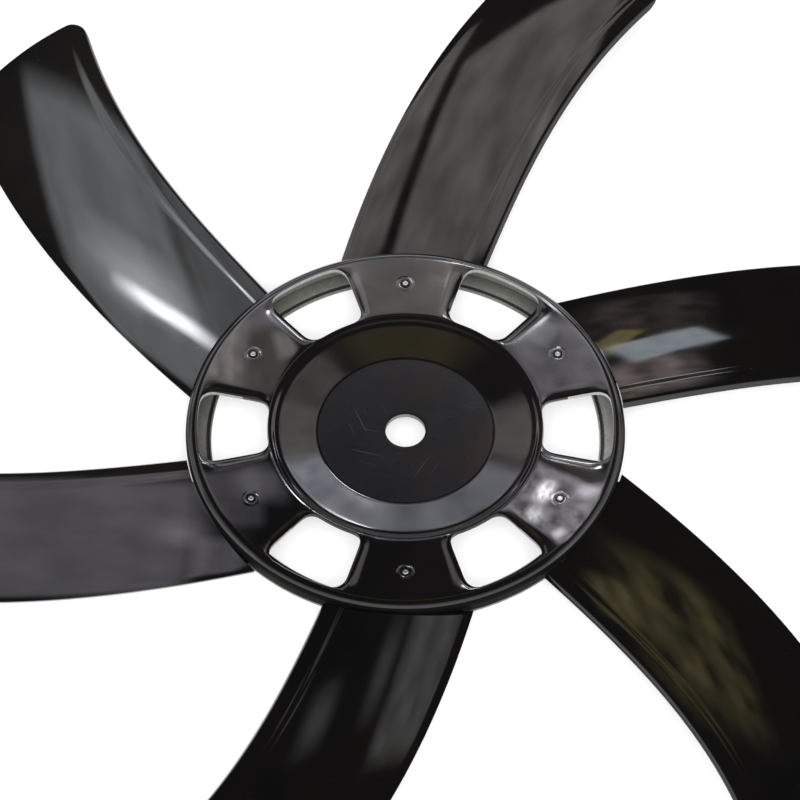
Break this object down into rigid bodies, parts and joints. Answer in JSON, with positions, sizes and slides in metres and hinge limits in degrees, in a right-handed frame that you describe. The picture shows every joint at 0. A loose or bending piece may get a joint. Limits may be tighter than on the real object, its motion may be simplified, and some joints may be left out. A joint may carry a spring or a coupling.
{
  "type": "axial fan wheel",
  "caption": "Axial fan wheel with a dished, windowed hub disc, a plain centre bore and swept cambered blades riveted under the hub's arms.",
  "frame": {"origin": "on the spin axis, level with the underside of the hoop that the wheel lies on", "axes": "+Z along the spin axis, out of the hub's front face; +X through the middle of the first window"},
  "size_m": [1.2142, 1.1826, 0.0416],
  "materials": {
    "black_gelcoat": "gloss black gelcoat over glass-fibre laminate",
    "blade_gelcoat": "gloss black gelcoat, slightly uneven",
    "raw_laminate": "raw grey-green glass-fibre laminate",
    "rivet_aluminium": "bright blind rivet",
    "zinc_steel": "zinc-plated washer"
  },
  "bodies": {
    "root": {"hub_disc": "black_gelcoat", "skirt_hoop": "raw_laminate", "blade_1": "blade_gelcoat", "blade_2": "blade_gelcoat", "blade_3": "blade_gelcoat", "blade_4": "blade_gelcoat", "blade_5": "blade_gelcoat", "blade_6": "blade_gelcoat", "rivet_1": "rivet_aluminium", "rivet_2": "rivet_aluminium", "rivet_3": "rivet_aluminium", "rivet_4": "rivet_aluminium", "rivet_5": "rivet_aluminium", "rivet_6": "rivet_aluminium", "washer_1": "zinc_steel", "washer_2": "zinc_steel", "washer_3": "zinc_steel", "washer_4": "zinc_steel", "washer_5": "zinc_steel", "washer_6": "zinc_steel"}
  },
  "joints": []
}
